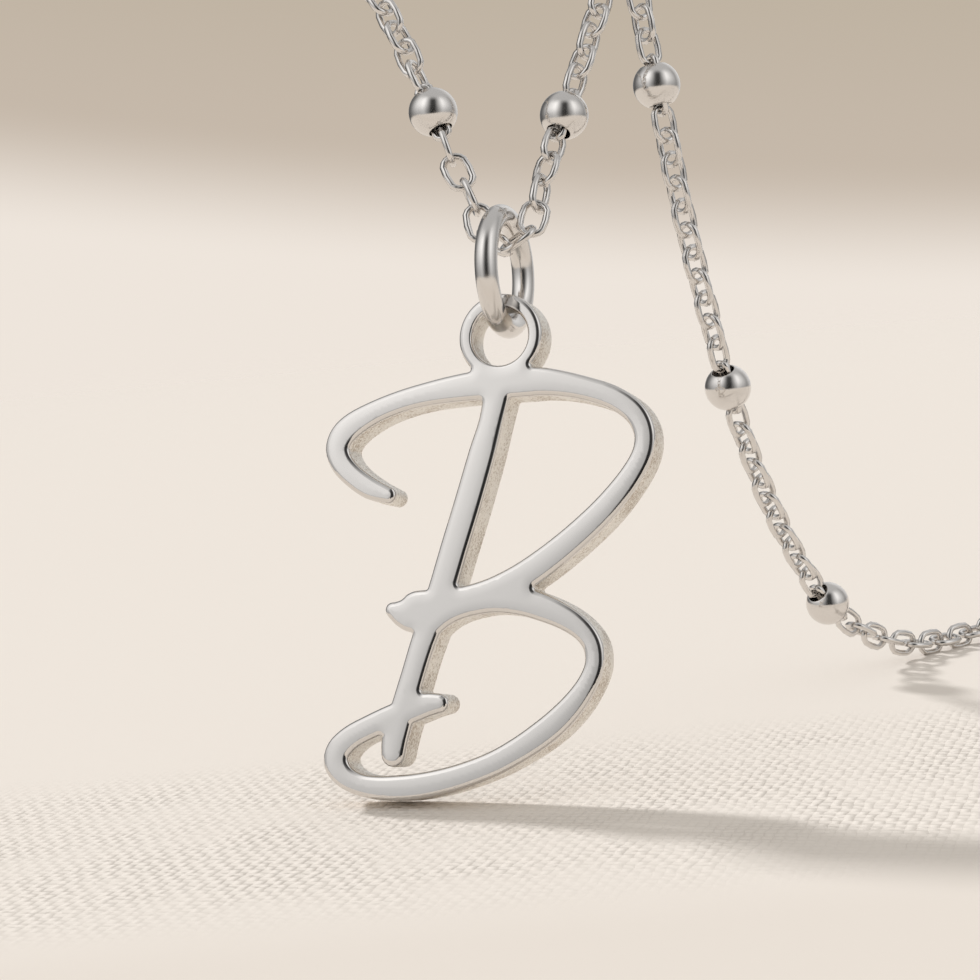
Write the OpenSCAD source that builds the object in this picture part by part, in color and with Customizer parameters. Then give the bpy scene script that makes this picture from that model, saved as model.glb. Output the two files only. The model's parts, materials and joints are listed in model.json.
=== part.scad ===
// Initial pendant: a polished script letter cut from thick plate, hung by a
// jump ring from a fine cable chain that carries small round beads.
// Millimetres, Z up. The letter's face looks toward -Y, and the origin is
// where the necklace hangs at the nape of the neck.

/* [Letter] */
// Height of the letter, from the top of its eye to its lowest point
letter_h = 20.7; // [18:0.1:24]
// Width of the letter
letter_w = 14.3; // [12:0.1:17]
// Width of a full stroke
stroke_w = 1; // [0.8:0.05:1.2]
// Thickness of the plate
plate_t = 1.5; // [1.2:0.1:1.7]
// How far the rounded rim stands out round the flat of the face
rim_w = 0.08; // [0.04:0.01:0.12]
// Radius of the fillets where strokes meet
fillet_r = 0.12; // [0.1:0.02:0.3]

/* [Eye] */
// Outer diameter of the eye
eye_d = 3.6; // [3.4:0.1:4]
// Diameter of the hole through the eye
eye_hole_d = 2.46; // [2.3:0.05:2.6]

/* [Jump ring] */
// Outer diameter of the jump ring
ring_d = 5.6; // [5.2:0.1:6]
// Thickness of the ring's wire
ring_wire_d = 0.95; // [0.8:0.05:1]

/* [Chain] */
// Thickness of the chain
chain_d = 1; // [0.8:0.1:1.1]
// Diameter of a bead
bead_d = 2.1; // [1.8:0.1:2.4]
// Diameter of the hole through a bead
bead_hole_d = 1.24; // [1.24:0.02:1.3]
// Distance from bead to bead along the chain
bead_pitch = 14; // [12:0.1:20]
// Running gap between pieces that hang on each other
hang_gap = 0.05; // [0.04:0.01:0.1]

/* [Clasp] */
// Outer diameter of the clasp's ring
clasp_d = 6; // [5:0.5:8]
// Thickness of the clasp's ring
clasp_wire_d = 1.4; // [1:0.1:1.8]
// Outer diameter of the small eye at each side of the clasp
clasp_eye_d = 2.4; // [2.2:0.1:3]
// Diameter of the hole through the small eye
clasp_eye_hole_d = 1.2; // [1:0.1:1.4]
// Thickness of the small eye
clasp_eye_t = 0.6; // [0.5:0.05:0.8]
// Metal between the eye's hole and the clasp's ring
clasp_eye_web = 0.1; // [0.05:0.01:0.2]

/* [Hidden] */
// Facets round the edge of an offset outline
fillet_fn = 16;
// Sections along each stretch of a stroke
stroke_steps = 4;
// Sides of the plain tube that stands for the chain
tube_sides = 8;

// A stroke's centre line: across and up from the eye's centre, as shares of
// the letter's width and height, and the stroke's width as a share of stroke_w
ACROSS = 0;
UP = 1;
WIDE = 2;

// The long stroke: open hook, top bar, upper bowl and the left serif
upper_stroke = [
  [-0.353, -0.307, 0.56], [-0.410, -0.291, 0.78], [-0.462, -0.266, 0.82],
  [-0.500, -0.238, 0.87], [-0.515, -0.208, 0.93], [-0.500, -0.180, 0.98],
  [-0.461, -0.157, 0.93], [-0.392, -0.134, 0.81], [-0.315, -0.117, 0.79],
  [-0.238, -0.106, 0.84], [-0.147, -0.098, 0.98], [-0.042, -0.093, 1.12],
  [0.063, -0.093, 1.10], [0.126, -0.095, 1.00], [0.192, -0.103, 0.88],
  [0.252, -0.114, 0.81], [0.311, -0.128, 0.80], [0.357, -0.145, 0.79],
  [0.396, -0.168, 0.77], [0.418, -0.194, 0.74], [0.425, -0.223, 0.71],
  [0.415, -0.253, 0.73], [0.387, -0.287, 0.79], [0.344, -0.325, 0.87],
  [0.287, -0.366, 0.94], [0.210, -0.411, 0.98], [0.133, -0.450, 1.02],
  [0.056, -0.483, 1.05], [-0.028, -0.509, 1.05], [-0.112, -0.525, 1.08],
  [-0.190, -0.532, 1.20], [-0.248, -0.542, 1.55], [-0.285, -0.546, 1.42],
  [-0.310, -0.545, 1.02], [-0.330, -0.541, 0.66], [-0.337, -0.539, 0.54]];

// The slanted stem, whose last row is its free end inside the lower loop
stem_stroke = [
  [-0.014, -0.106, 1.05], [-0.034, -0.169, 0.92], [-0.062, -0.234, 1.04],
  [-0.105, -0.331, 1.07], [-0.147, -0.420, 1.07], [-0.192, -0.517, 1.05],
  [-0.241, -0.604, 0.95], [-0.273, -0.671, 0.92], [-0.301, -0.734, 0.98],
  [-0.326, -0.790, 1.02], [-0.333, -0.825, 0.90]];

// The lower stroke: lower bowl, the loop at its left end and the right serif
lower_stroke = [
  [-0.254, -0.630, 0.56], [-0.216, -0.577, 0.72], [-0.147, -0.540, 0.89],
  [-0.042, -0.524, 0.94], [0.049, -0.528, 0.99], [0.126, -0.544, 0.95],
  [0.192, -0.565, 0.85], [0.239, -0.589, 0.74], [0.266, -0.615, 0.68],
  [0.274, -0.643, 0.66], [0.268, -0.669, 0.67], [0.245, -0.700, 0.73],
  [0.210, -0.732, 0.84], [0.161, -0.765, 0.92], [0.107, -0.793, 0.93],
  [0.049, -0.818, 0.89], [-0.021, -0.843, 0.86], [-0.098, -0.863, 0.86],
  [-0.175, -0.878, 0.88], [-0.252, -0.888, 0.90], [-0.322, -0.892, 0.88],
  [-0.385, -0.891, 0.80], [-0.441, -0.884, 0.74], [-0.486, -0.868, 0.82],
  [-0.511, -0.843, 0.95], [-0.504, -0.816, 0.92], [-0.465, -0.791, 0.85],
  [-0.406, -0.771, 0.84], [-0.343, -0.754, 0.90], [-0.280, -0.739, 0.94],
  [-0.231, -0.729, 0.84], [-0.190, -0.726, 0.64]];

// The chain's route in millimetres from its lowest point, inside the jump
// ring: from the clasp down the wearer's right side, through the ring, up over
// its rest, down behind the letter and round the other side to the clasp
chain_route = [
  [12, 103.5, 87], [0, 104, 89], [-13, 102.5, 89.5], [-26, 97.5, 87.5], [-37, 89.5, 83],
  [-45, 79, 76.5], [-49.5, 67, 68.5], [-50, 54.5, 60], [-47, 42.5, 51.5], [-41, 31, 43.5],
  [-33, 20.5, 36], [-24, 11.5, 29], [-15.5, 5, 22], [-9.4, 1.3, 15.8],
  [-5.8, 0.1, 11.2], [-3.25, 0, 5.9], [-2.35, 0, 3.6], [-1.6, 0, 2.2], [-1.15, 0, 1.3],
  [-0.98, 0, 0.7], [-0.6, 0, 0.18], [0, 0, 0], [0.6, 0, 0.18], [0.98, 0.1, 0.7],
  [1.2, 0.4, 1.4], [1.5, 1.3, 3.7], [1.9, 2.5, 6.2], [2.9, 4, 11],
  [3.15, 4.5, 12.6], [3.65, 5, 13.4], [4.15, 5.5, 12.6], [4.4, 5.8, 11],
  [4.9, 6.4, 7.8], [5.4, 7.6, 3.8], [5.8, 8.9, 0.7], [6.2, 10.2, -2], [6.5, 11.8, -4.5],
  [6.95, 14.8, -7.7], [7.5, 18, -10.4], [8.5, 21.5, -13.2], [9.6, 23.6, -14.6],
  [10.7, 25.7, -15.25], [12, 27.8, -15.45], [13.4, 29.9, -15.1], [15.6, 32.3, -14.2],
  [22, 36.5, -11], [29.5, 41, -5.5], [36, 47, 3], [41, 53.5, 13.5], [43.5, 60.5, 25],
  [44, 68.5, 37], [42.5, 76.5, 49], [38.5, 84, 60.5], [32.5, 91, 71], [23.5, 98, 80],
  [12, 103.5, 87]];

// Height of the ring's centre above the chain's lowest point
ring_r = (ring_d - ring_wire_d) / 2;
ring_inner_r = ring_r - ring_wire_d / 2;
ring_z = chain_d / 2 + hang_gap - ring_inner_r;
// The eye's bridge rests by its two edges on the inside of the ring
eye_z = ring_z - sqrt(pow(ring_inner_r, 2) - pow(plate_t / 2, 2)) + hang_gap - eye_hole_d / 2;

// A smooth curve through rows of a table, in steps per stretch
function curve_at(a, b, c, d, t) =
  0.5 * (2 * b + (c - a) * t + (2 * a - 5 * b + 4 * c - d) * t * t
  + (3 * b - a - 3 * c + d) * t * t * t);
function curve(rows, steps) = let (last = len(rows) - 1)
  [for (i = [0:last - 1]) for (k = [0:(i == last - 1 ? steps : steps - 1)])
    curve_at(rows[max(i - 1, 0)], rows[i], rows[i + 1], rows[min(i + 2, last)], k / steps)];

// The chain's centre line: long stretches get one more section in the middle
long_stretch = 6;
route_last = len(chain_route) - 1;
chain_line = [for (i = [0:route_last]) each
  i < route_last && norm(chain_route[i + 1] - chain_route[i]) > long_stretch
  ? [chain_route[i], curve_at(chain_route[i == 0 ? route_last - 1 : i - 1], chain_route[i],
      chain_route[i + 1], chain_route[i + 2 > route_last ? 1 : i + 2], 0.5)]
  : [chain_route[i]]];
line_last = len(chain_line) - 1;
function running(line, i = 0, so_far = 0) = i == len(line) - 1 ? [so_far]
  : concat([so_far], running(line, i + 1, so_far + norm(line[i + 1] - line[i])));
reach = running(chain_line);
chain_len = reach[line_last];
lowest = [for (i = [0:line_last]) if (norm(chain_line[i]) == 0) reach[i]][0];

// The point of the chain's centre line at a length s from the clasp
function before(s, i = 0) = i >= line_last - 1 || reach[i + 1] > s ? i : before(s, i + 1);
function along(s) = let (i = before(s), t = (s - reach[i]) / (reach[i + 1] - reach[i]))
  chain_line[i] + t * (chain_line[i + 1] - chain_line[i]);
function heading(s, half) = along(min(s + half, chain_len)) - along(max(s - half, 0));

// The clasp: the chain's ends stop just short of the eyes at its sides
clasp_eye_at = clasp_d / 2 + clasp_eye_web + clasp_eye_hole_d / 2;
clasp_reach = clasp_eye_at + clasp_eye_d / 2;
chain_gap = 0.1;
chain_start = clasp_reach + chain_gap;
tube_line = concat([along(chain_start)],
  [for (i = [0:line_last]) if (reach[i] > chain_start + chain_d && reach[i] < chain_len - chain_start - chain_d) chain_line[i]],
  [along(chain_len - chain_start)]);
nape = chain_line[0];

// As many beads as fit up each side, the nearest two half a pitch from the letter
bead_side = floor((min(lowest, chain_len - lowest) - clasp_reach - bead_d) / bead_pitch + 0.5);
bead_count = 2 * bead_side;
function bead_name(i) = str("bead_", i < 10 ? "0" : "", i);

// Outline of a stroke, with round ends that its sides run into smoothly
module stroke(rows) {
  line = [for (p = curve(rows, stroke_steps)) [p[ACROSS] * letter_w, p[UP] * letter_h, p[WIDE] * stroke_w / 2]];
  last = len(line) - 1;
  side = [for (i = [0:last]) let (d = line[min(i + 1, last)] - line[max(i - 1, 0)]) [-d[1], d[0]] / norm([d[0], d[1]])];
  polygon(concat([for (i = [0:last]) [line[i][0], line[i][1]] + side[i] * line[i][2]],
    [for (i = [last:-1:0]) [line[i][0], line[i][1]] - side[i] * line[i][2]]));
  for (i = [0, last]) let (d = line[i] - line[i == 0 ? 1 : last - 1], taper = atan(d[2] / norm([d[0], d[1]])))
    translate([line[i][0], line[i][1]]) circle(r = line[i][2] * cos(taper), $fn = fillet_fn);
}

module letter_outline() {
  translate([rim_w, -rim_w / 2]) {
    offset(r = -fillet_r, $fn = fillet_fn) offset(delta = fillet_r + rim_w) {
      stroke(upper_stroke);
      stroke([for (i = [0:len(stem_stroke) - 2]) stem_stroke[i]]);
      stroke(lower_stroke);
      translate([-rim_w, rim_w / 2]) circle(d = eye_d - 2 * rim_w, $fn = 96);
    }
    offset(r = rim_w, $fn = fillet_fn) stroke(stem_stroke);
  }
}

module letter() {
  color("gainsboro") translate([0, 0, eye_z] - nape) rotate([90, 0, 0]) difference() {
    linear_extrude(plate_t, center = true) letter_outline();
    cylinder(d = eye_hole_d, h = 2 * plate_t, center = true, $fn = 64);
  }
}

module jump_ring() {
  color("silver") translate([0, 0, ring_z] - nape) rotate([0, 90, 0])
    rotate_extrude($fn = 64) translate([ring_r, 0]) circle(d = ring_wire_d, $fn = 32);
}

// Sides of a section square to the tube at section i
function section(line, i) = let (
  last = len(line) - 1,
  d = line[min(i + 1, last)] - line[max(i - 1, 0)],
  ahead = d / norm(d),
  flat = cross(ahead, [0.3, 1, 0]),
  side = flat / norm(flat),
  over = cross(side, ahead))
  [for (k = [0:tube_sides - 1]) let (a = 360 * k / tube_sides) line[i] + chain_d / 2 * (cos(a) * side + sin(a) * over)];

module tube(line) {
  last = len(line) - 1;
  points = [for (i = [0:last]) each section(line, i)];
  walls = [for (i = [0:last - 1]) for (k = [0:tube_sides - 1]) let (
    a = i * tube_sides + k, b = i * tube_sides + (k + 1) % tube_sides) each
    [[a, b, b + tube_sides], [a, b + tube_sides, a + tube_sides]]];
  near = [for (k = [tube_sides - 1:-1:0]) k];
  far = [for (k = [0:tube_sides - 1]) last * tube_sides + k];
  polyhedron(points, concat(walls, [near, far]));
}

module chain() {
  color("darkgray") translate(-nape) tube(tube_line);
}

// Turns the X axis along d
module aim(d) {
  rotate([0, -asin(d[2] / norm(d)), atan2(d[1], d[0])]) children();
}

module bead(i) {
  s = lowest + (i - bead_side - 0.5) * bead_pitch;
  color("lightgray") translate(along(s) - nape) aim(heading(s, bead_d / 2)) rotate([0, 90, 0]) difference() {
    sphere(d = bead_d, $fn = 48);
    cylinder(d = bead_hole_d, h = 2 * bead_d, center = true, $fn = 32);
  }
}

module clasp() {
  color("darkgray") aim(along(chain_len - chain_start) - along(chain_start)) difference() {
    union() {
      rotate_extrude($fn = 64) translate([(clasp_d - clasp_wire_d) / 2, 0]) circle(d = clasp_wire_d, $fn = 24);
      for (side = [-1, 1]) translate([side * clasp_eye_at, 0, 0])
        cylinder(d = clasp_eye_d, h = clasp_eye_t, center = true, $fn = 48);
    }
    for (side = [-1, 1]) translate([side * clasp_eye_at, 0, 0])
      cylinder(d = clasp_eye_hole_d, h = 2 * clasp_eye_t, center = true, $fn = 32);
  }
}

letter();
jump_ring();
chain();
clasp();
for (i = [1:bead_count]) bead(i);
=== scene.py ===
# Initial pendant on its satellite chain: a polished script letter, its jump ring,
# a cable chain of real links, mirror beads and a plain ring clasp.
import json
import math
import random

import bpy
import bmesh
from mathutils import Matrix, Vector
from mathutils.kdtree import KDTree

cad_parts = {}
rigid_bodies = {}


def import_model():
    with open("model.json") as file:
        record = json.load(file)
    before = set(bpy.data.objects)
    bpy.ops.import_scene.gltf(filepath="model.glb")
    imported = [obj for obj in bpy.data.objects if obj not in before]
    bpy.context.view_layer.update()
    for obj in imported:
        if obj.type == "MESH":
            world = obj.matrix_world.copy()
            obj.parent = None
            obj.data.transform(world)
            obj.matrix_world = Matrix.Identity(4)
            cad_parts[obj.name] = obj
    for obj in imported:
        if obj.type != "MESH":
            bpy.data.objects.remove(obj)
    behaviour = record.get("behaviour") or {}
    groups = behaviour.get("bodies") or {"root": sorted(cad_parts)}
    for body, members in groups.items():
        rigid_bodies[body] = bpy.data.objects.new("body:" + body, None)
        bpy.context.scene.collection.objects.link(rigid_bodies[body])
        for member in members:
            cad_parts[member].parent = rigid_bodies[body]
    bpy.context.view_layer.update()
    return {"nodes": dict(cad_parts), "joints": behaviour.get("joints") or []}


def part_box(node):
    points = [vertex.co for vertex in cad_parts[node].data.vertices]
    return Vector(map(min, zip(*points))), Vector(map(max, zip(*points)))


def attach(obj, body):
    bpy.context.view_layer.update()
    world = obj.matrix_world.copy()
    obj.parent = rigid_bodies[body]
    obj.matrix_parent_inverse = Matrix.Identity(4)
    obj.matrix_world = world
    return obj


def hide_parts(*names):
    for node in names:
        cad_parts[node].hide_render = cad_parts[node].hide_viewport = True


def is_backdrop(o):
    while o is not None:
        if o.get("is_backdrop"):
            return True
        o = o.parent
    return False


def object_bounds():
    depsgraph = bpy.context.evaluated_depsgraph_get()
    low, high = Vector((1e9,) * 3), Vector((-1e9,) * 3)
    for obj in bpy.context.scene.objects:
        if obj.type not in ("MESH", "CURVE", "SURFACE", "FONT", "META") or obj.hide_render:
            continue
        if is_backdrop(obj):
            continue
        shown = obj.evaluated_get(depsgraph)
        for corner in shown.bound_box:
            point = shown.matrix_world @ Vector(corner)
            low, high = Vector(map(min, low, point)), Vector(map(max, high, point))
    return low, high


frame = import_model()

print("frame loaded")

# All pieces are modelled in millimetres round the chain's lowest point, inside the
# jump ring, and put into the frame's metres when they are finished.
joints = {joint["name"]: joint for joint in frame["joints"]}
lowPoint = Vector(joints["ring_swing"]["pos_m"])
perMetre = 1000  # millimetres
ringFoot = (Vector(joints["letter_swing"]["pos_m"]) - lowPoint) * perMetre
nape = -lowPoint * perMetre
cutTolerance = 0.00001  # how near to a cutting plane a vertex counts as on it


def cadBox(node):
    low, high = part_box(node)
    return (low - lowPoint) * perMetre, (high - lowPoint) * perMetre


# Modelling helpers

def deselect():
    bpy.ops.object.select_all(action="DESELECT")


def selectOnly(*pieces):
    deselect()
    for piece in pieces:
        piece.select_set(True)
    bpy.context.view_layer.objects.active = pieces[0]


def newest(name):
    piece = bpy.context.active_object
    piece.name = name
    piece.data.name = name
    return piece


def editing(piece):
    selectOnly(piece)
    bpy.ops.object.mode_set(mode="EDIT")


def done():
    bpy.ops.object.mode_set(mode="OBJECT")


def pick(piece, kind, test):
    # Select the faces, edges or vertices that a test holds for
    mesh = bmesh.from_edit_mesh(piece.data)
    bpy.ops.mesh.select_all(action="DESELECT")
    bpy.ops.mesh.select_mode(type=kind)
    for part in {"FACE": mesh.faces, "EDGE": mesh.edges, "VERT": mesh.verts}[kind]:
        part.select_set(test(part))
    bmesh.update_edit_mesh(piece.data)


def smooth(piece, degrees):
    selectOnly(piece)
    bpy.ops.object.shade_smooth_by_angle(angle=math.radians(degrees))


def joined(name, pieces):
    selectOnly(*pieces)
    bpy.ops.object.join()
    return newest(name)


def bakeTransform(*pieces):
    selectOnly(*pieces)
    bpy.ops.object.transform_apply(location=True, rotation=True, scale=True)


def intoFrame(piece):
    piece.scale = (1 / perMetre,) * 3
    piece.location = lowPoint
    bakeTransform(piece)


def wireRing(name, diameter, wire, sides, wireSides, place=(0, 0, 0), turn=(0, 0, 0)):
    # A round ring of round wire, by its outer diameter
    deselect()
    bpy.ops.mesh.primitive_torus_add(major_radius=(diameter - wire) / 2, minor_radius=wire / 2,
                                     major_segments=sides, minor_segments=wireSides,
                                     location=place, rotation=turn)
    return newest(name)


# Camera, at the photograph's viewing angle: turned to the letter's right and a little low

cameraLook = {
    "azimuth": 20.0,
    "elevation": -7.5,
    "place": (30.8, -86.46, -22.58),  # millimetres from the chain's lowest point
    "lens": 82.54,
    "sensor": 36,
    "clip": (0.002, 20),
}


def makeCamera(look):
    bpy.ops.object.camera_add()
    camera = newest("camera")
    camera.data.lens = look["lens"]
    camera.data.sensor_width = look["sensor"]
    camera.data.clip_start, camera.data.clip_end = look["clip"]
    camera.location = lowPoint + Vector(look["place"]) / perMetre
    camera.rotation_euler = (math.radians(90 - look["elevation"]), 0, math.radians(look["azimuth"]))
    bpy.context.scene.camera = camera


def viewAxes(look):
    # The photograph's view, level: into the picture and to its right
    turn = math.radians(look["azimuth"])
    return Vector((-math.sin(turn), math.cos(turn), 0)), Vector((math.cos(turn), math.sin(turn), 0))


makeCamera(cameraLook)
print("camera placed")

# The letter: the frame's plate with a rounded, polished rim and a slightly crowned face

letterSize = {
    "rimReach": 0.21,
    "rimDepth": 0.07,
    "rimShape": 1.2,
    "rimSteps": 9,
    "edgeRound": 0.095,
    "steepest": 0.998,  # share of the way to an edge, where at 1 the slope would be endless
    "shortEdge": 0.03,
    "foldedShare": 0.2,  # share of the bevel's depth, from the face, where short edges are closed up
    "crownReach": 0.58,
    "crownDepth": 0.028,
    "holeRimReach": 0.12,
    "holeRimDepth": 0.03,
    "eyeDiameter": 3.6,
    "eyeHoleDiameter": 2.46,
    "eyeMargin": 0.05,
    "backRim": 0.05,
    "gridStep": 0.1,
    "flatAngle": 0.4,
    "tolerance": 0.0005,
    "nearEdges": 6,
    "smoothAngle": 35,
}


def copyOfNode(node, name, size):
    # One of the frame's nodes in millimetres, its loose triangles merged into whole faces
    selectOnly(frame["nodes"][node])
    bpy.ops.object.duplicate()
    piece = newest(name)
    bpy.ops.object.parent_clear(type="CLEAR_KEEP_TRANSFORM")
    piece.location = nape
    piece.scale = (perMetre,) * 3
    bakeTransform(piece)
    editing(piece)
    bpy.ops.mesh.select_all(action="SELECT")
    bpy.ops.mesh.remove_doubles(threshold=size["tolerance"])
    bpy.ops.mesh.dissolve_limited(angle_limit=math.radians(size["flatAngle"]))
    done()
    return piece


class Rim:
    # The foot of a bevelled rim, and how the face falls away towards it: first a wide
    # soft crown, then the narrow bevel, and last the rounded edge

    def __init__(self, edges, reach, depth, size):
        self.reach = reach
        self.depth = depth
        self.size = size
        self.parts = [[vert.co.copy() for vert in edge.verts] for edge in edges]
        self.tree = KDTree(2 * len(self.parts))
        for i, part in enumerate(self.parts):
            for point in part:
                self.tree.insert((point.x, 0, point.z), i)
        self.tree.balance()

    def nearestFoot(self, flat):
        # The point of the rim's foot that lies nearest
        best = None
        for _, index, _ in self.tree.find_n(flat, self.size["nearEdges"]):
            a, b = [Vector((end.x, 0, end.z)) for end in self.parts[index]]
            share = min(max((flat - a).dot(b - a) / (b - a).length_squared, 0), 1)
            foot = a.lerp(b, share)
            if best is None or (foot - flat).length < (best - flat).length:
                best = foot
        return best

    def fall(self, point):
        # How far the face lies below its top at a point, and its slope outwards there
        flat = Vector((point.x, 0, point.z))
        away = self.nearestFoot(flat) - flat
        crownReach, crownDepth = self.size["crownReach"], self.size["crownDepth"]
        shape, edgeRound = self.size["rimShape"], self.size["edgeRound"]
        drop, slope = 0, 0
        share = min(1 - away.length / self.reach, self.size["steepest"])
        if share > 0:
            rest = 1 - share ** shape
            drop += self.depth * (1 - rest ** (1 / shape))
            slope += self.depth / self.reach * share ** (shape - 1) * rest ** (1 / shape - 1)
        share = 1 - away.length / crownReach
        if share > 0:
            drop += crownDepth * share ** 2
            slope += 2 * crownDepth / crownReach * share
        share = min(1 - away.length / edgeRound, self.size["steepest"])
        if share > 0:
            rest = math.sqrt(1 - share ** 2)
            drop += edgeRound * (1 - rest)
            slope += share / rest
        if away.length < self.size["tolerance"]:
            return drop, None
        return drop, away.normalized() * slope


def makeLetter(size):
    low, high = cadBox("letter")
    front, back = low.y, high.y
    eyeHeight = high.z - size["eyeDiameter"] / 2
    outerRim = (size["rimReach"], size["rimDepth"], False)
    holeRim = (size["holeRimReach"], size["holeRimDepth"], True)
    piece = copyOfNode("letter", "initial", size)
    editing(piece)
    bpy.ops.mesh.select_all(action="SELECT")
    bpy.ops.mesh.remove_doubles(threshold=size["shortEdge"])

    def onPlane(part, level):
        return all(abs(vert.co.y - level) < size["tolerance"] for vert in part.verts)

    def isRim(edge, level):
        return onPlane(edge, level) and any(abs(face.normal.y) < 0.5 for face in edge.link_faces)

    def fromEye(vert):
        return math.hypot(vert.co.x, vert.co.z - eyeHeight)

    def isHole(edge):
        return all(fromEye(vert) < size["eyeHoleDiameter"] / 2 + size["eyeMargin"] for vert in edge.verts)

    pick(piece, "EDGE", lambda edge: isRim(edge, back))
    bpy.ops.mesh.bevel(offset=size["backRim"], segments=1, affect="EDGES", clamp_overlap=False)
    for reach, _, hole in (outerRim, holeRim):
        pick(piece, "EDGE", lambda edge: isRim(edge, front) and isHole(edge) == hole)
        bpy.ops.mesh.bevel(offset=reach, segments=size["rimSteps"], affect="EDGES", clamp_overlap=False)

    # Close up what folds over itself in the bevel's innermost rows at the tips
    innermost = front + size["rimReach"] * size["foldedShare"]
    pick(piece, "VERT", lambda vert: vert.co.y < innermost and fromEye(vert) > size["eyeDiameter"] / 2)
    bpy.ops.mesh.remove_doubles(threshold=size["shortEdge"])

    # Cut the flat of the face into a fine grid, so that it can be cambered
    pick(piece, "FACE", lambda face: onPlane(face, front))
    bpy.ops.mesh.hide(unselected=True)
    for axis in (0, 2):
        step = Vector((0, 0, 0))
        step[axis] = size["gridStep"]
        for count in range(1, int((high[axis] - low[axis]) / size["gridStep"])):
            bpy.ops.mesh.select_all(action="SELECT")
            bpy.ops.mesh.bisect(plane_co=low + step * count, plane_no=step, threshold=cutTolerance)
    bpy.ops.mesh.reveal(select=False)
    mesh = bmesh.from_edit_mesh(piece.data)
    rims = []
    for reach, depth, _ in (outerRim, holeRim):
        feet = [edge for edge in mesh.edges if onPlane(edge, front + reach)]
        rims.append(Rim(feet, reach, depth, size))
    done()
    smooth(piece, size["smoothAngle"])
    camber(piece, rims, front, size)
    return piece


def camber(piece, rims, front, size):
    # Round the whole face softly towards its rims, and give it that round's exact normals.
    # A normal of no length leaves a corner as it is
    normals = []
    for vert in piece.data.vertices:
        normal = Vector((0, 0, 0))
        if vert.co.y < front + size["rimReach"] + size["tolerance"]:
            falls = [rim.fall(vert.co) for rim in rims]
            vert.co.y = front + sum(fall for fall, _ in falls)
            if all(slope is not None for _, slope in falls):
                normal = sum((slope for _, slope in falls), Vector((0, -1, 0))).normalized()
        normals.append(normal)
    piece.data.normals_split_custom_set([normals[loop.vertex_index] for loop in piece.data.loops])


initial = makeLetter(letterSize)
print("letter modelled")

# The jump ring: round wire closed to a hairline joint

ringSize = {
    "outerDiameter": 5.6,
    "wire": 0.95,
    "sides": 96,
    "wireSides": 28,
    "jointAngle": 118,
    "jointGap": 0.03,
    "jointEdge": 0.05,
    "jointSteps": 2,
    "jointReach": 0.9,  # share of the ring's radius, past which a face may lie at the joint
    "smoothAngle": 35,
}


def makeRing(size):
    middle = (size["outerDiameter"] - size["wire"]) / 2
    centre = Vector((0, 0, ringFoot.z + middle))
    piece = wireRing("ring", size["outerDiameter"], size["wire"], size["sides"], size["wireSides"],
                     centre, (0, math.radians(90), 0))
    bakeTransform(piece)
    editing(piece)
    angle = math.radians(size["jointAngle"])
    outward = Vector((0, math.cos(angle), math.sin(angle)))
    along = Vector((0, -math.sin(angle), math.cos(angle)))
    half = size["jointGap"] / 2

    def nearJoint(face):
        return (face.calc_center_median() - centre).dot(outward) > middle * size["jointReach"]

    for side in (-half, half):
        pick(piece, "FACE", nearJoint)
        bpy.ops.mesh.bisect(plane_co=centre + along * side, plane_no=along, threshold=cutTolerance)
    pick(piece, "FACE", lambda face: nearJoint(face)
         and abs((face.calc_center_median() - centre).dot(along)) < half)
    bpy.ops.mesh.delete(type="FACE")
    for side in (-half, half):
        pick(piece, "EDGE", lambda edge: edge.is_boundary
             and abs(sum((vert.co - centre).dot(along) for vert in edge.verts) / 2 - side) < half / 2)
        bpy.ops.mesh.edge_face_add()
        bpy.ops.mesh.bevel(offset=size["jointEdge"], segments=size["jointSteps"], affect="EDGES")
    bpy.ops.mesh.select_all(action="SELECT")
    bpy.ops.mesh.normals_make_consistent(inside=False)
    done()
    smooth(piece, size["smoothAngle"])
    return piece


ring = makeRing(ringSize)
print("jump ring modelled")

# The chain's route, in millimetres from the ring's hanging point: from the clasp down one
# side, through the ring, up over its rest, down behind the letter and round to the clasp.
# Inside the ring it runs a little lower than the frame's plain tube, to clear the ring's wire

chainRoute = [
    (12, 103.5, 87), (0, 104, 89), (-13, 102.5, 89.5), (-26, 97.5, 87.5), (-37, 89.5, 83),
    (-45, 79, 76.5), (-49.5, 67, 68.5), (-50, 54.5, 60), (-47, 42.5, 51.5), (-41, 31, 43.5),
    (-33, 20.5, 36), (-24, 11.5, 29), (-15.5, 5, 22), (-9.4, 1.3, 15.8),
    (-5.8, 0.1, 11.2), (-3.25, 0, 5.9), (-2.35, 0, 3.6), (-1.6, 0, 2.2), (-1.25, 0, 1.35),
    (-1.16, 0, 0.6), (-0.73, 0, -0.05), (0, 0, -0.28), (0.73, 0, -0.12), (1.16, 0.08, 0.54),
    (1.26, 0.4, 1.4), (1.5, 1.3, 3.7), (1.9, 2.5, 6.2), (2.9, 4, 11),
    (3.15, 4.5, 12.6), (3.65, 5, 13.4), (4.15, 5.5, 12.6), (4.4, 5.8, 11),
    (4.9, 6.4, 7.8), (5.4, 7.6, 3.8), (5.8, 8.9, 0.7), (6.2, 10.2, -2), (6.5, 11.8, -4.5),
    (6.95, 14.8, -7.7), (7.5, 18, -10.4), (8.5, 21.5, -13.2), (9.6, 23.6, -14.6),
    (10.7, 25.7, -15.25), (12, 27.8, -15.45), (13.4, 29.9, -15.1), (15.6, 32.3, -14.2),
    (22, 36.5, -11), (29.5, 41, -5.5), (36, 47, 3), (41, 53.5, 13.5), (43.5, 60.5, 25),
    (44, 68.5, 37), (42.5, 76.5, 49), (38.5, 84, 60.5), (32.5, 91, 71), (23.5, 98, 80),
    (12, 103.5, 87),
]

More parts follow.
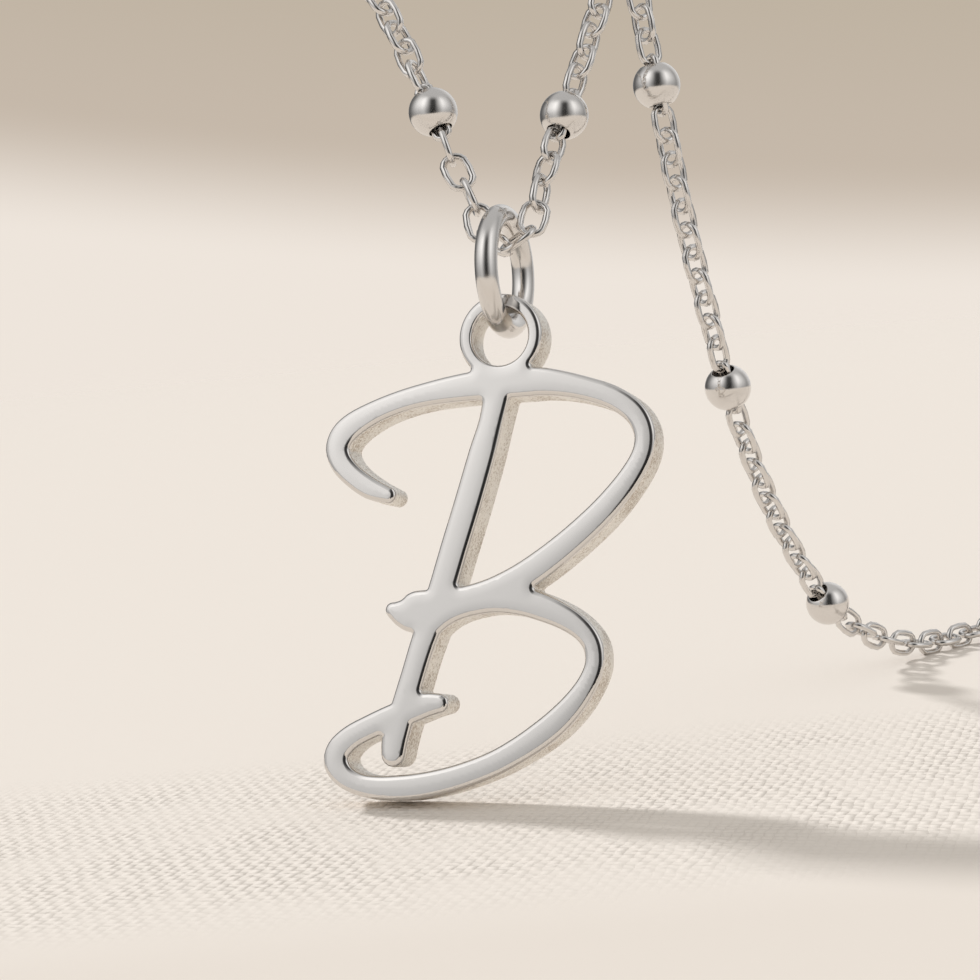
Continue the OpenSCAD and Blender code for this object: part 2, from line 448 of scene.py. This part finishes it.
chainSize = {
    "linkLength": 1.86,
    "linkWidth": 1.34,
    "linkWire": 0.3,
    "linkSides": 16,
    "wireSides": 6,
    "linksBetweenBeads": 11,
    "linksInRing": 10,
    "firstLink": 1.72,
    "beadLinkLength": 2.86,
    "beadLinkWidth": 0.94,
    "slack": 0.15,
    "stretchFrom": 0.05,
    "faceOnLink": -2,  # counted from the lowest link, it turns its flat side to the camera
    "ringTwist": -105,  # degrees, spread over the links counted in the line below
    "ringTwistLinks": (0, 5),
    "leftTwist": 45,
    "leftTwistLinks": (2, 7),
    "backTwist": -30,
    "backTwistLinks": (11, 15),
    "rollWander": 7,
    "wanderLinks": (4, 9),
    "settleLinks": 24,
    "smoothAngle": 75,
    "seed": 5,
}


class Route:
    # A smooth closed line through a list of points, measured along its length

    def __init__(self, points, steps=24):
        rows = [Vector(point) for point in points]
        last = len(rows) - 1
        self.line = []
        for i in range(last):
            a = rows[i - 1] if i else rows[last - 1]
            b, c = rows[i], rows[i + 1]
            d = rows[i + 2] if i + 2 <= last else rows[1]
            for k in range(steps):
                t = k / steps
                self.line.append(0.5 * (2 * b + (c - a) * t + (2 * a - 5 * b + 4 * c - d) * t * t
                                        + (3 * b - a - 3 * c + d) * t * t * t))
        self.line.append(rows[last])
        self.reach = [0.0]
        for p, q in zip(self.line, self.line[1:]):
            self.reach.append(self.reach[-1] + (q - p).length)
        self.length = self.reach[-1]

    def at(self, s):
        s = min(max(s, 0), self.length)
        low, high = 0, len(self.reach) - 1
        while high - low > 1:
            middle = (low + high) // 2
            if self.reach[middle] <= s:
                low = middle
            else:
                high = middle
        share = (s - self.reach[low]) / (self.reach[high] - self.reach[low])
        return self.line[low].lerp(self.line[high], share)

    def nearest(self, point):
        index = min(range(len(self.line)), key=lambda i: (self.line[i] - point).length)
        return self.reach[index]


route = Route(chainRoute)
beadNames = sorted(node for node in frame["nodes"] if node.startswith("bead_"))
beadPlaces = []
for node in beadNames:
    low, high = cadBox(node)
    beadPlaces.append(route.nearest((low + high) / 2))
lowestPlace = route.nearest(Vector((0, 0, 0)))


def ease(value, start, end):
    share = min(max((value - start) / (end - start), 0), 1)
    return share * share * (3 - 2 * share)


# The clasp: a plain ring with a small eye at each side

claspSize = {
    "diameter": 6.0,
    "wire": 1.4,
    "eyeDiameter": 2.4,
    "eyeWire": 0.6,
    "eyeReach": 3.7,
    "chainStart": 5.0,
    "straightReach": (5, 9),  # how far from the nape the chain leaves its straight start
    "sides": 64,
    "wireSides": 20,
    "eyeSides": 36,
    "eyeWireSides": 14,
    "smoothAngle": 50,
}


def claspFrame(size):
    # Unit vectors of the clasp: from the chain's first link to its last, sideways and upright
    across = (route.at(route.length - size["chainStart"]) - route.at(size["chainStart"])).normalized()
    side = Vector((-across.y, across.x, 0)).normalized()
    return across, side, across.cross(side)


def makeClasp(size):
    across, side, over = claspFrame(size)
    turn = Matrix((across, side, over)).transposed().to_euler()
    piece = wireRing("claspRing", size["diameter"], size["wire"], size["sides"], size["wireSides"],
                     nape, turn)
    for direction in (-1, 1):
        eye = wireRing("claspEye", size["eyeDiameter"], size["eyeWire"], size["eyeSides"],
                       size["eyeWireSides"], nape + across * size["eyeReach"] * direction, turn)
        selectOnly(piece)
        weld = piece.modifiers.new("weld", "BOOLEAN")
        weld.operation = "UNION"
        weld.solver = "EXACT"
        weld.object = eye
        bpy.ops.object.modifier_apply(modifier=weld.name)
        bpy.data.objects.remove(eye)
    bakeTransform(piece)
    smooth(piece, size["smoothAngle"])
    return piece


clasp = makeClasp(claspSize)
print("clasp modelled")


# Links: one oval link, copied along the route, each a quarter turn from the last, and a
# longer and narrower one inside each bead

def makeLink(length, width, size):
    stretch = (length - width) / 2
    piece = wireRing("link", width, size["linkWire"], size["linkSides"], size["wireSides"])
    editing(piece)
    for side in (-1, 1):
        pick(piece, "VERT", lambda vert: vert.co.x * side > size["stretchFrom"])
        bpy.ops.transform.translate(value=(stretch * side, 0, 0))
    done()
    smooth(piece, size["smoothAngle"])
    return piece


def chainPoint(s):
    # The route, in line with the clasp's eyes at its ends
    across = claspFrame(claspSize)[0]
    point = route.at(s)
    for reach, way in ((s, -1), (route.length - s, 1)):
        point = point.lerp(nape + across * reach * way, 1 - ease(reach, *claspSize["straightReach"]))
    return point


def linkPlaces(size):
    # Where each link's middle lies along the route, and whether it lies inside a bead
    inner = size["linkLength"] - 2 * size["linkWire"]
    start = claspSize["eyeReach"] + claspSize["eyeDiameter"] / 2 - claspSize["eyeWire"] + inner / 2
    stations = [start] + beadPlaces + [route.length - start]
    places = []
    for i, (a, b) in enumerate(zip(stations, stations[1:])):
        fromBead, toBead = i > 0, i < len(stations) - 2
        first = a + (size["firstLink"] if fromBead else 0)
        last = b - (size["firstLink"] if toBead else 0)
        if a < lowestPlace < b:
            count = size["linksInRing"] - 1
        elif fromBead and toBead:
            count = size["linksBetweenBeads"] - 1
        else:
            count = math.ceil((last - first) / (inner - size["slack"]))
        places += [(first + (last - first) * k / count, False) for k in range(count + 1)]
        if toBead:
            places.append((b, True))
    return places


def linkFrames(places, size):
    # Each link's middle, its direction and a sideways vector that doesn't twist along the chain
    meets = [(a[0] + b[0]) / 2 for a, b in zip(places, places[1:])]
    meets = [2 * places[0][0] - meets[0]] + meets + [2 * places[-1][0] - meets[-1]]
    ends = [chainPoint(s) for s in meets]
    ahead = [(b - a).normalized() for a, b in zip(ends, ends[1:])]
    middles = []
    for i, (s, _) in enumerate(places):
        offCentre = s - (meets[i] + meets[i + 1]) / 2
        middles.append((ends[i] + ends[i + 1]) / 2 + ahead[i] * offCentre)
    first = min(i for i, (s, _) in enumerate(places) if s > lowestPlace)
    into, _ = viewAxes(cameraLook)
    sideways = [None] * len(places)
    start = first + size["faceOnLink"]
    sideways[start] = ahead[start].cross(into).normalized()
    for order in (range(start + 1, len(places)), range(start - 1, -1, -1)):
        previous = start
        for i in order:
            carried = ahead[previous].rotation_difference(ahead[i]) @ sideways[previous]
            sideways[i] = (carried - carried.dot(ahead[i]) * ahead[i]).normalized()
            previous = i
    return middles, ahead, sideways, start


def turned(vector, axis, degrees):
    return Matrix.Rotation(math.radians(degrees), 3, axis) @ vector


def makeChain(size):
    link = makeLink(size["linkLength"], size["linkWidth"], size)
    beadLink = makeLink(size["beadLinkLength"], size["beadLinkWidth"], size)
    places = linkPlaces(size)
    middles, ahead, sideways, start = linkFrames(places, size)
    dice = random.Random(size["seed"])
    rolls = []
    for i in range(len(places)):
        wander = dice.uniform(-1, 1) * size["rollWander"] * ease(abs(i - start), *size["wanderLinks"])
        twist = size["ringTwist"] * ease(i - start, *size["ringTwistLinks"])
        twist += size["leftTwist"] * ease(start - i, *size["leftTwistLinks"])
        twist += size["backTwist"] * ease(i - start, *size["backTwistLinks"])
        rolls.append(90 * (i - start) + twist + wander)

    # The last links at each end turn until the outermost stands across the clasp's eye
    upright = claspFrame(claspSize)[2]
    last = len(places) - 1
    for end, inwards in ((0, 1), (last, -1)):
        wide = turned(sideways[end], ahead[end], rolls[end])
        miss = math.degrees(math.atan2(wide.cross(upright).dot(ahead[end]), wide.dot(upright)))
        miss = (miss + 90) % 180 - 90
        for k in range(size["settleLinks"]):
            rolls[end + inwards * k] += miss * (1 - k / size["settleLinks"])

    copies = []
    for i, (_, inBead) in enumerate(places):
        wide = turned(sideways[i], ahead[i], rolls[i])
        selectOnly(beadLink if inBead else link)
        bpy.ops.object.duplicate()
        copy = newest("link")
        copy.rotation_euler = Matrix((ahead[i], wide, ahead[i].cross(wide))).transposed().to_euler()
        copy.location = middles[i]
        copies.append(copy)
    bpy.data.objects.remove(link)
    bpy.data.objects.remove(beadLink)
    bakeTransform(*copies)
    return joined("cableChain", copies)


chain = makeChain(chainSize)
print("chain linked:", len(chain.data.polygons), "faces")

# Beads: drilled balls with a softened hole

beadSize = {
    "diameter": 2.1,
    "hole": 1.0,
    "holeEdge": 0.05,
    "edgeSteps": 3,
    "sides": 32,
    "rows": 20,
    "tolerance": 0.001,
    "smoothAngle": 40,
}


def makeBead(size):
    radius = size["diameter"] / 2
    holeRadius = size["hole"] / 2 + size["holeEdge"] / 2
    height = math.sqrt(radius ** 2 - holeRadius ** 2)
    deselect()
    bpy.ops.mesh.primitive_uv_sphere_add(radius=radius, segments=size["sides"], ring_count=size["rows"])
    piece = newest("bead")
    editing(piece)
    for side in (-1, 1):
        bpy.ops.mesh.select_all(action="SELECT")
        bpy.ops.mesh.bisect(plane_co=(0, 0, height * side), plane_no=(0, 0, side), clear_outer=True,
                            threshold=cutTolerance)
    pick(piece, "EDGE", lambda edge: edge.is_boundary)
    bpy.ops.mesh.bridge_edge_loops()
    pick(piece, "EDGE", lambda edge: all(abs(abs(vert.co.z) - height) < size["tolerance"]
                                         for vert in edge.verts))
    bpy.ops.mesh.bevel(offset=size["holeEdge"], segments=size["edgeSteps"], affect="EDGES",
                       clamp_overlap=False)
    bpy.ops.mesh.select_all(action="SELECT")
    bpy.ops.mesh.normals_make_consistent(inside=False)
    done()
    smooth(piece, size["smoothAngle"])
    return piece


def makeBeads(size):
    model = makeBead(size)
    beads = []
    for node, place in zip(beadNames, beadPlaces):
        selectOnly(model)
        bpy.ops.object.duplicate()
        bead = newest(node.replace("bead", "ball"))
        half = size["diameter"] / 2
        heading = route.at(place + half) - route.at(place - half)
        bead.rotation_euler = heading.to_track_quat("Z", "Y").to_euler()
        bead.location = route.at(place)
        bakeTransform(bead)
        beads.append(bead)
    bpy.data.objects.remove(model)
    return beads


beads = makeBeads(beadSize)
print("beads modelled:", len(beads))


# Materials

class Signal:
    # A shader socket that takes part in Python sums

    def __init__(self, shader, socket):
        self.shader = shader
        self.socket = socket

    def sum(self, operation, *values):
        return self.shader.node("ShaderNodeMath", {"operation": operation}, dict(enumerate(values)))

    def __add__(self, other):
        return self.sum("ADD", self, other)

    def __sub__(self, other):
        return self.sum("SUBTRACT", self, other)

    def __mul__(self, other):
        return self.sum("MULTIPLY", self, other)

    def __rsub__(self, other):
        return self.sum("SUBTRACT", other, self)

    def __abs__(self):
        return self.sum("ABSOLUTE", self)

    __radd__ = __add__
    __rmul__ = __mul__


class Shader:
    # Builds the nodes of one material or world

    def __init__(self, owner):
        owner.use_nodes = True
        self.tree = owner.node_tree
        self.tree.nodes.clear()

    def node(self, kind, settings=None, inputs=None, output=0):
        node = self.tree.nodes.new(kind)
        for name, value in (settings or {}).items():
            setattr(node, name, value)
        for name, value in (inputs or {}).items():
            if isinstance(value, Signal):
                self.tree.links.new(value.socket, node.inputs[name])
            else:
                node.inputs[name].default_value = value
        return Signal(self, node.outputs[output]) if len(node.outputs) else node

    def step(self, value, start, end, low=0.0, high=1.0):
        # A soft step from low to high as the value goes from start to end
        return self.node("ShaderNodeMapRange", {"interpolation_type": "SMOOTHSTEP"}, {
            "Value": value, "From Min": start, "From Max": end, "To Min": low, "To Max": high})

    def noise(self, place, scale, detail=2.0):
        return self.node("ShaderNodeTexNoise", {}, {"Vector": place, "Scale": scale, "Detail": detail})

    def part(self, vector, axis):
        # One of a vector's three numbers
        return self.node("ShaderNodeSeparateXYZ", {}, {"Vector": vector}, output=axis)

    def dot(self, vector, direction):
        # How far a vector reaches in a direction
        return self.node("ShaderNodeVectorMath", {"operation": "DOT_PRODUCT"},
                         {0: vector, 1: direction}, output=1)

    def ramp(self, value, stops):
        # A level read off a list of places from 0 to 1. A ramp cuts off what is above 1, so its
        # levels are halved in it and doubled after it
        found = self.node("ShaderNodeValToRGB", {}, {"Fac": value})
        elements = found.socket.node.color_ramp.elements
        while len(elements) < len(stops):
            elements.new(1.0)
        for element, (place, level) in zip(elements, stops):
            element.position = place
            element.color = (level / 2, level / 2, level / 2, 1)
        return self.node("ShaderNodeSeparateColor", {}, {"Color": found}) * 2

    def blend(self, share, first, second):
        return self.node("ShaderNodeMix", {"data_type": "RGBA"},
                         {"Factor": share, 6: first, 7: second}, output=2)


metalLook = {
    "polish": (0.73, 0.702, 0.675, 1),
    "satin": (0.86, 0.83, 0.775, 1),
    "satinPit": (0.56, 0.49, 0.415, 1),
    "polishRoughness": 0.15,
    "letterRoughness": 0.07,
    "satinRoughness": 0.42,
    "pitRoughness": 0.12,
    "rippleScale": 900,
    "rippleRange": (0.3, 0.7),
    "rippleShares": (0.8, 1.3),  # of the polish's roughness, where the ripple is low and high
    "rippleHeight": 0.0000015,
    "pitScale": 11500,
    "pitDetail": 4.0,
    "pitHeight": 0.000009,
    "pitRange": (0.68, 0.95),
    "pitsPerCloud": 14,
    "cloudDetail": 3.0,
    "cloudShare": 0.5,
    "satinFront": (0.95, 1.1),  # shares of the front rim's depth between which the satin sets in
    "satinBack": (0.06, 0.02),  # millimetres from the back between which it ends
}


def makeMetal(name, look, polishRoughness, satinMask=None):
    material = bpy.data.materials.new(name)
    shader = Shader(material)
    place = shader.node("ShaderNodeTexCoord", output=3)
    ripple = shader.noise(place, look["rippleScale"])
    levels = [polishRoughness * share for share in look["rippleShares"]]
    roughness = shader.step(ripple, *look["rippleRange"], *levels)
    colour = look["polish"]
    height = ripple * look["rippleHeight"]
    if satinMask:
        mask = satinMask(shader, place, look)
        pits = shader.noise(place, look["pitScale"], look["pitDetail"])
        clouds = shader.noise(place, look["pitScale"] / look["pitsPerCloud"], look["cloudDetail"])
        pitted = shader.step(pits + clouds * look["cloudShare"], *look["pitRange"])
        satin = shader.blend(pitted, look["satin"], look["satinPit"])
        colour = shader.blend(mask, look["polish"], satin)
        roughness = roughness + mask * (pitted * look["pitRoughness"] + look["satinRoughness"])
        height = height - mask * pitted * look["pitHeight"]
    bump = shader.node("ShaderNodeBump", {}, {"Height": height, "Strength": 1.0, "Distance": 1.0})
    surface = shader.node("ShaderNodeBsdfPrincipled", {}, {
        "Base Color": colour, "Metallic": 1.0, "Roughness": roughness, "Normal": bump})
    shader.node("ShaderNodeOutputMaterial", {}, {"Surface": surface})
    return material


def letterSides(shader, place, look):
    # Satin on the cut sides, from the foot of the bevelled rim to the back edge
    low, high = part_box("letter")
    depth = shader.part(place, 1)
    rim = (letterSize["rimDepth"] + letterSize["crownDepth"] + letterSize["edgeRound"]) / perMetre
    starts, ends = [low.y + rim * share for share in look["satinFront"]]
    fades, stops = [high.y - reach / perMetre for reach in look["satinBack"]]
    return shader.step(depth, starts, ends) * shader.step(depth, fades, stops, 1.0, 0.0)


def dress(piece, material, slot, body, *nodes):
    intoFrame(piece)
    piece.data.materials.clear()
    piece.data.materials.append(material)
    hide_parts(*nodes)
    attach(piece, body)


letterMetal = makeMetal("letterMetal", metalLook, metalLook["letterRoughness"], letterSides)
ringMetal, chainMetal, beadMetal, claspMetal = [
    makeMetal(name, metalLook, metalLook["polishRoughness"])
    for name in ("ringMetal", "chainMetal", "beadMetal", "claspMetal")]
dress(initial, letterMetal, "letter_metal", "pendant", "letter")
dress(ring, ringMetal, "ring_wire", "ring", "jump_ring")
dress(chain, chainMetal, "chain_wire", "necklace", "chain")
dress(clasp, claspMetal, "clasp_metal", "necklace", "clasp")
for bead, node in zip(beads, beadNames):
    dress(bead, beadMetal, "bead_metal", "necklace", node)
print("pieces dressed")

# The studio: a pale floor that rises gently behind the letter, soft light all round
# and one low lamp from the left that throws the long shadow. Places and widths on the
# floor are metres from the chain's lowest point, and depths go into the picture

floorLook = {
    "slope": 14.5,
    "drop": -23.4,  # millimetres
    "size": 30.0,
    "nearEdge": 0.19,
    "colour": (0.90, 0.84, 0.78, 1),
    # A darker colour that paints shade between the threads and on the floor in front of the letter
    "shade": (0.80, 0.73, 0.66, 1),
    "roughness": 0.9,
    "gloss": 0.1,
    "fade": (0.16, 0.5),
    "threadWidth": 0.00042,
    "threadHeight": 0.00006,
    "threadWander": 700.0,
    "gapShade": (0.1, 0.8, 0.3, 0.0),  # from low to high on a thread, and the shade at each
    "weaveMiddle": 0.001,
    "weaveReach": 0.007,
    "patchScale": 260.0,
    "patchRange": (0.3, 0.7, 0.35, 1.0),  # from low to high in the noise, and the weave at each
    "frontShade": 0.4,
    "frontStart": (-0.018, -0.011),
    "frontEnd": (-0.08, -0.03),
}


def makeFloor(look):
    material = bpy.data.materials.new("floorCard")
    shader = Shader(material)
    place = shader.node("ShaderNodeTexCoord", output=3)
    away = shader.node("ShaderNodeVectorMath", {"operation": "SUBTRACT"}, {0: place, 1: lowPoint})
    distance = shader.node("ShaderNodeVectorMath", {"operation": "LENGTH"}, {0: away}, output=1)
    into, _ = viewAxes(cameraLook)
    depth = shader.dot(away, into)

    # Plain weave: each thread shows as a short hump, one way and the other by turns
    width = look["threadWidth"]
    wander = shader.node("ShaderNodeTexNoise", {},
                         {"Vector": away, "Scale": look["threadWander"]}, output=1)
    bent = shader.node("ShaderNodeVectorMath", {"operation": "MULTIPLY_ADD"},
                       {0: wander, 1: (width,) * 3, 2: away})
    humps = []
    for axis in (0, 1):
        threads = shader.part(bent, axis) * (1 / width)
        humps.append(abs(threads.sum("SINE", threads * math.pi)))
    turns = shader.node("ShaderNodeTexChecker", {}, {"Vector": bent, "Scale": 1 / width}, output=1)
    hump = humps[0] * turns + humps[1] * (1 - turns)

    # The weave shows in a patchy band near the letter, with painted shade between its threads, and a
    # plain painted shade lies before it
    patches = shader.step(shader.noise(away, look["patchScale"]), *look["patchRange"])
    reach = look["weaveReach"]
    near = shader.step(abs(depth + look["weaveMiddle"]), reach, 2 * reach, 1.0, 0.0) * patches
    front = shader.step(depth, *look["frontStart"], 1.0, 0.0) * shader.step(depth, *look["frontEnd"])
    # Painted shade: darker between the threads, and on the floor in front of the letter
    dark = near * shader.step(hump, *look["gapShade"]) + front * look["frontShade"]
    colour = shader.blend(dark, look["colour"], look["shade"])
    relief = hump * near * look["threadHeight"]
    bump = shader.node("ShaderNodeBump", {}, {"Height": relief, "Distance": 1.0})
    seen = shader.step(distance, *look["fade"], 1.0, 0.0)
    surface = shader.node("ShaderNodeBsdfPrincipled", {}, {
        "Base Color": colour, "Roughness": look["roughness"], "Specular IOR Level": look["gloss"],
        "Alpha": seen, "Normal": bump})
    shader.node("ShaderNodeOutputMaterial", {}, {"Surface": surface})

    slope = math.radians(look["slope"])
    rise = Vector((0, math.cos(slope), math.sin(slope))) * (look["size"] / 2 - look["nearEdge"])
    middle = lowPoint + Vector((0, 0, look["drop"])) / perMetre + rise
    deselect()
    bpy.ops.mesh.primitive_plane_add(size=look["size"], rotation=(slope, 0, 0), location=middle)
    floor = newest("floor")
    bakeTransform(floor)
    floor.data.materials.append(material)
    floor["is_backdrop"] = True


lampLook = {
    "azimuth": 72.0,
    "elevation": 38.0,
    "strength": 2.1,
    "size": 7.0,
}


def makeLamp(look):
    bpy.ops.object.light_add(type="SUN")
    lamp = newest("lamp")
    lamp.data.energy = look["strength"]
    lamp.data.angle = math.radians(look["size"])
    lamp.visible_glossy = False
    tilt, turn = math.radians(90 - look["elevation"]), math.radians(180 + look["azimuth"])
    lamp.rotation_euler = (tilt, 0, turn)


# Edges are in degrees above the horizon
worldLook = {
    "fill": (0.60, 0.585, 0.56, 1),
    "fillStrength": 1.02,
    "lowLight": (-16.0, 30.0, 0.45, 1.0),  # from low to high, and the share of light at each
    "top": (0.58, 0.58, 0.58, 1),
    "topEdge": (38.0, 66.0),
    "nearBackdrop": (0.855, 0.785, 0.715, 1),
    # Painted shadow: the backdrop darkens above the floor's far edge, and more higher up
    "backdrop": (0.565, 0.485, 0.405, 1),
    "backdropEdge": (12.9, 16.3),
    "highBackdrop": (0.515, 0.445, 0.355, 1),
    "highBackdropEdge": (15.0, 22.0),
    "backdropTilt": 3.5,
}

# What the metal mirrors round the studio: bright cards and dark flags, as azimuth from
# the front towards the right in degrees, and how light it is there
studioRing = [
    (-180, 0.90), (-160, 0.60), (-140, 0.15), (-115, 0.15), (-96, 0.35), (-61, 1.00),
    (-40, 1.20), (-28, 1.38), (-20, 1.20), (-15, 1.03), (-9, 0.75), (8, 0.14), (14, 0.05),
    (30, 0.05), (43, 0.45), (67, 1.25), (94, 0.80), (126, 0.40), (150, 0.70), (180, 0.90),
]


def makeWorld(look, ring):
    # Plain fill for rough surfaces, the studio's ring for mirrors, and for the camera a pale backdrop
    # with a painted shadow across its upper part
    world = bpy.data.worlds.new("studio")
    bpy.context.scene.world = world
    shader = Shader(world)
    direction = shader.node("ShaderNodeTexCoord", output=0)
    x, y, z = [shader.part(direction, axis) for axis in range(3)]
    azimuth = x.sum("ARCTAN2", x, 0 - y) * math.degrees(1)
    elevation = z.sum("ARCSINE", z) * math.degrees(1)
    stops = [((turn + 180) / 360, level) for turn, level in ring]
    light = shader.ramp((azimuth + 180) * (1 / 360), stops)
    light = light * shader.step(elevation, *look["lowLight"])
    light = shader.blend(shader.step(elevation, *look["topEdge"]), light, look["top"])
    mirrored = shader.node("ShaderNodeBackground", {}, {"Color": light})
    even = shader.node("ShaderNodeBackground", {},
                       {"Color": look["fill"], "Strength": look["fillStrength"]})
    _, right = viewAxes(cameraLook)
    height = elevation + shader.dot(direction, right) * look["backdropTilt"]
    # Painted shadow, darker in two steps up the backdrop
    share = shader.step(height, *look["backdropEdge"])
    colour = shader.blend(share, look["nearBackdrop"], look["backdrop"])
    share = shader.step(height, *look["highBackdropEdge"])
    colour = shader.blend(share, colour, look["highBackdrop"])
    seen = shader.node("ShaderNodeBackground", {}, {"Color": colour})
    glossy = shader.node("ShaderNodeLightPath", output=3)
    straight = shader.node("ShaderNodeLightPath", output=0)
    mixed = shader.node("ShaderNodeMixShader", {}, {0: glossy, 1: even, 2: mirrored})
    mixed = shader.node("ShaderNodeMixShader", {}, {0: straight, 1: mixed, 2: seen})
    shader.node("ShaderNodeOutputWorld", {}, {"Surface": mixed})


makeFloor(floorLook)
makeLamp(lampLook)
makeWorld(worldLook, studioRing)
bpy.context.scene.view_settings.view_transform = "Standard"
print("studio lit")

low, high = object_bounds()
